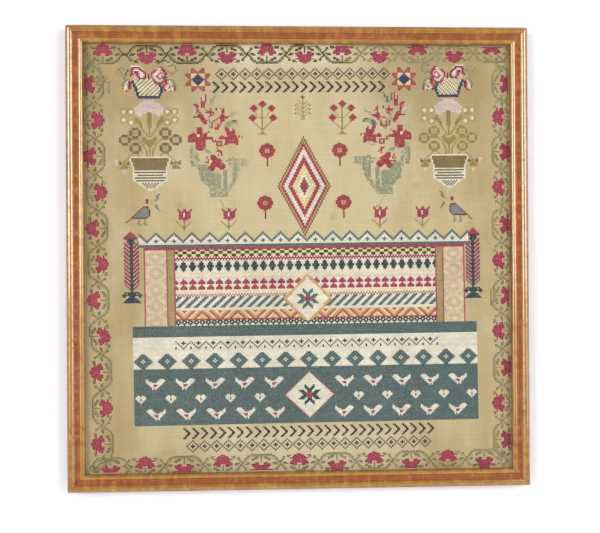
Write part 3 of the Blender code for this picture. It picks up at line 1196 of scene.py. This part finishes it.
def wool_material():
    recipe = Recipe("stitch_wool")
    paint = recipe.node("Attribute", {}, "Color", attribute_name="thread")
    along, across, _ = recipe.split(recipe.node("Attribute", {}, "Vector",
                                                attribute_name="strand"))
    twist = ((along + across * 1.4) * (2 * math.pi * 1.6)).math("SINE")
    fibres = recipe.noise(2600.0, 3.0, 0.6)
    patches = recipe.noise(1.0, stretch=(60, 60, 160))
    shade = fibres.range(0.3, 0.7, -0.10, 0.10) + patches.range(0.3, 0.7, -0.07, 0.07)
    full = 1.06 / LIGHT_LEVEL
    # The twist term paints shade in the ply's grooves and light on its crests
    lit = recipe.ramp(shade + twist * 0.05 + 0.94, ((0.0, (0, 0, 0)), (1.0, (full, full, full))))
    recipe.colour = recipe.mix(1.0, paint, lit, "MULTIPLY")
    recipe.bump(twist + fibres * 1.2, 0.00008, 0.6)
    return recipe.finish(fibres.range(0.3, 0.7, 0.78, 0.92), Specular_IOR_Level=0.2,
                         Sheen_Weight=0.18, Sheen_Roughness=0.4)


GOLD = (164, 112, 36)
GOLD_LIGHT = (172, 124, 46)
GOLD_DEEP = (152, 98, 38)
GOLD_INNER = (184, 134, 52)
# Painted highlight: pale gold laid on the upright rails' bead feet and flanks
GOLD_PAINTED_HIGHLIGHT = (208, 168, 118)
GOLD_YELLOW = (184, 144, 54)
GOLD_RUBBED = (160, 98, 44)
BOLE = (164, 102, 64)
BOLE_DARK = (118, 60, 40)
BOLE_LIGHT = (170, 106, 58)
BOLE_RED = (146, 82, 56)
BOLE_PALE = (192, 124, 84)
BARE_WOOD = linear((176, 138, 96))
BARE_WOOD_DARK = linear((140, 104, 68))
KNOCK = linear((84, 46, 34))
BOARD_WOOD = linear((196, 160, 112))
BOARD_RINGS = linear((158, 118, 74))
BOARD_GRAIN = linear((120, 86, 52))
BOARD_PATCHES = linear((112, 84, 56))


def moulding_material(name, level, glaze):
    """Rubbed gilding on the beads and red-brown bole in the hollow, streaked along the rail; on
    upright rails the feet and flanks of the beads carry a painted highlight.
    """
    recipe = Recipe(name)
    x, y, z = recipe.split(recipe.place)
    inset = FRAME_SIDE / 2 - abs(x).math("MAXIMUM", abs(z - CENTRE_Z))

    def drawn_out(along, across, detail, roughness):
        stretch = (along, across, across) if level else (across, across, along)
        return recipe.noise(1.0, detail, roughness, stretch)

    streaks = drawn_out(7, 300, 4.0, 0.6)
    patches = drawn_out(14, 60, 5.0, 0.62)
    mottle = drawn_out(110, 55, 4.0, 0.6)
    specks = recipe.noise(330.0, 3.0, 0.6)
    share = (inset + streaks.range(0.25, 0.75, -0.0006, 0.0006)) / RAIL_WIDTH
    # Bead feet and flanks: pale painted highlight on upright rails, deep gold on level rails
    foot = GOLD_DEEP if level else GOLD_PAINTED_HIGHLIGHT
    recipe.colour = recipe.ramp(share, [(place, seen_as(colour)) for place, colour in (
        (0.00, BOLE_DARK), (0.03, BOLE), (0.06, GOLD_DEEP), (0.13, GOLD), (0.25, GOLD_LIGHT),
        (0.36, foot), (0.415, foot), (0.44, BOLE), (0.56, BOLE_RED), (0.64, BOLE),
        (0.70, BOLE_LIGHT), (0.735, foot), (0.80, GOLD_INNER), (0.91, GOLD_LIGHT), (0.94, foot),
        (0.98, foot), (1.00, GOLD_DEEP),
    )])
    gilded = recipe.ramp(share, [(place, (gold, gold, gold)) for place, gold in (
        (0.00, 0.2), (0.05, 0.6), (0.10, 1), (0.41, 1), (0.44, 0), (0.69, 0), (0.735, 1), (1.0, 1),
    )])
    worn = (patches * 0.65 + streaks * 0.35).range(0.56, 0.70)
    strength = share.range(0.0, 0.06, 0.15, 1.0)
    dark_speck = specks.range(0.635, 0.67, 0.0, 0.8)
    behind = y.range(-0.0006, -0.0003)
    recipe.tint(worn * 0.5, BOLE)
    recipe.tint(mottle.range(0.50, 0.64, 0.0, 0.8) * strength,
                recipe.mix(gilded, seen_as(BOLE_PALE), seen_as(GOLD_YELLOW)))
    recipe.tint(mottle.range(0.36, 0.48, 0.7, 0.0) * strength,
                recipe.mix(gilded, seen_as(BOLE_RED), seen_as(GOLD_RUBBED)))
    recipe.tint(streaks.range(0.35, 0.7, 0.0, 0.25), GOLD_DEEP)
    recipe.tint(dark_speck, KNOCK)
    recipe.tint(behind, recipe.mix(streaks.range(0.3, 0.7), BARE_WOOD, BARE_WOOD_DARK))
    front = gilded * behind.range(0.0, 1.0, 1.0, 0.0)
    metal = front * worn.range(0.0, 1.0, 0.2, 0.1) * dark_speck.range(0.0, 0.8, 1.0, 0.1)
    rough = gilded.range(0.1, 1.0, 0.55, 0.34) + patches.range(0.3, 0.7, -0.05, 0.12)
    recipe.bump(streaks * 0.6 + dark_speck * -1.2 + patches * 0.5, 0.0002, 0.5)
    return recipe.finish(rough + behind * 0.35, Metallic=metal, Specular_IOR_Level=0.05,
                         Coat_Weight=front, Coat_Roughness=0.11, Coat_IOR=glaze)


def board_material():
    """Planed softwood: growth rings drawn out along the board."""
    recipe = Recipe("backing_wood", BOARD_WOOD)
    x = recipe.split(recipe.place)[0]
    rings = (x * 190.0 + recipe.noise(0.6, stretch=(34, 34, 2.2)) * 22.0).math("SINE")
    fine = recipe.noise(1.0, 3.0, 0.7, (900, 900, 14))
    recipe.tint(rings.range(-1, 1), BOARD_RINGS)
    recipe.tint(fine.range(0.3, 0.7, 0.0, 0.4), BOARD_GRAIN)
    recipe.tint(recipe.noise(7.0, 4.0).range(0.5, 0.75, 0.0, 0.5), BOARD_PATCHES)
    recipe.bump(fine + rings * 0.4, 0.0002, 0.5)
    return recipe.finish(fine.range(0.3, 0.7, 0.62, 0.8))


def dress_nodes():
    """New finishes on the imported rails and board."""
    level = moulding_material("gilt_moulding_level", True, 1.65)
    # The upright copy differs by a painted highlight on its bead feet and flanks, and a stronger
    # glaze
    upright = moulding_material("gilt_moulding_upright_painted_highlight", False, 1.95)
    board = board_material()
    for name, material in (("rail_top", level), ("rail_bottom", level), ("rail_left", upright),
                           ("rail_right", upright), ("backing_board", board)):
        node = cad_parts[name]
        for material_slot in node.material_slots:
            material_slot.link = "OBJECT"
            material_slot.material = material
        "backing_wood" if name == "backing_board" else "gilt_moulding"


# ------------------------------------------------------------------------------ studio

STUDIO_MIDDLE = (0, 0, CENTRE_Z)
CORNERS = ((-1, -1), (1, -1), (1, 1), (-1, 1))
WALL_Y = 0.0008
FLOOR_Z = -1.35
SOFTBOXES = (                    # name, place, size and power
    ("left", (-1.9, -1.6, 0.0), (1.5, 1.8), 19),
    ("right", (1.9, -1.6, 0.0), (1.5, 1.8), 19),
    ("front_left", (-1.3, -2.0, 0.1), (0.8, 1.0), 19),
    ("front_right", (1.3, -2.0, 0.1), (0.8, 1.0), 19),
    ("above", (0, -1.7, 1.9), (3.4, 2.0), 12),
    ("behind", (0.6, 2.2, 1.2), (1.6, 1.2), 40),
)
CAMERA_PLACE = (-0.0668, -1.3147, -0.3078)
CAMERA_TURN = (90.177, 0.347, -2.940)
CAMERA_LENS = 60.0


def add_softbox(name, place, size, power):
    light = bpy.data.lights.new("softbox_" + name, "AREA")
    light.shape = "RECTANGLE"
    light.size, light.size_y = size
    light.energy = power
    lamp = add_object("softbox_" + name, light)
    lamp.location = place
    direction = Vector(STUDIO_MIDDLE) - lamp.location
    lamp.rotation_euler = direction.to_track_quat("-Z", "Y").to_euler()


def add_plane(name, corners, material):
    mesh = bpy.data.meshes.new(name)
    mesh.from_pydata(corners, [], [(0, 1, 2, 3)])
    mesh.materials.append(material)
    plane = add_object(name, mesh)
    return plane


def backdrop_material():
    """White seen from the front; from behind, the wall isn't there."""
    recipe = Recipe("studio_wall", (0.855, 0.855, 0.855))
    material = recipe.finish(0.9, Specular_IOR_Level=0.0)
    clear = recipe.node("BsdfTransparent", {})
    facing = recipe.node("NewGeometry", {}, "Backfacing")
    chosen = recipe.node("MixShader", {0: facing, 1: Value(recipe, recipe.shader.outputs[0]),
                                       2: clear})
    recipe.feed(recipe.nodes["Material Output"].inputs["Surface"], chosen)
    return material


def add_studio():
    wall = add_plane("studio_wall", [(4 * x, WALL_Y, 3 * z) for x, z in CORNERS],
                     backdrop_material())
    wall.visible_shadow = False
    floor = Recipe("studio_floor")
    floor.colour = floor.noise(6.0).range(0.3, 0.7, 0.82, 0.86)
    add_plane("studio_floor", [(6 * x, 6 * y, FLOOR_Z) for x, y in CORNERS], floor.finish(0.9))
    for softbox in SOFTBOXES:
        add_softbox(*softbox)
    world = bpy.data.worlds.new("studio_air")
    bpy.context.scene.world = world
    world.use_nodes = True
    air = world.node_tree.nodes["Background"]
    air.inputs["Color"].default_value = (1.0, 0.99, 0.97, 1.0)
    air.inputs["Strength"].default_value = 0.25
    bpy.context.scene.view_settings.view_transform = "Standard"


def add_camera():
    lens = bpy.data.cameras.new("photo_view")
    lens.lens = CAMERA_LENS
    lens.sensor_width = 36.0
    camera = add_object("photo_view", lens)
    camera.location = CAMERA_PLACE
    camera.rotation_euler = Euler([math.radians(angle) for angle in CAMERA_TURN], "XYZ")
    bpy.context.scene.camera = camera


# ------------------------------------------------------------------------------ building

def main():
    add_camera()
    add_studio()
    dress_nodes()
    work_everything()
    cloth = add_cloth()
    cloth.data.materials.append(linen_material())
    wool = wool_material()
    for name in PIECES[1:]:
        crosses = add_crosses(name)
        crosses.data.materials.append(wool)


main()
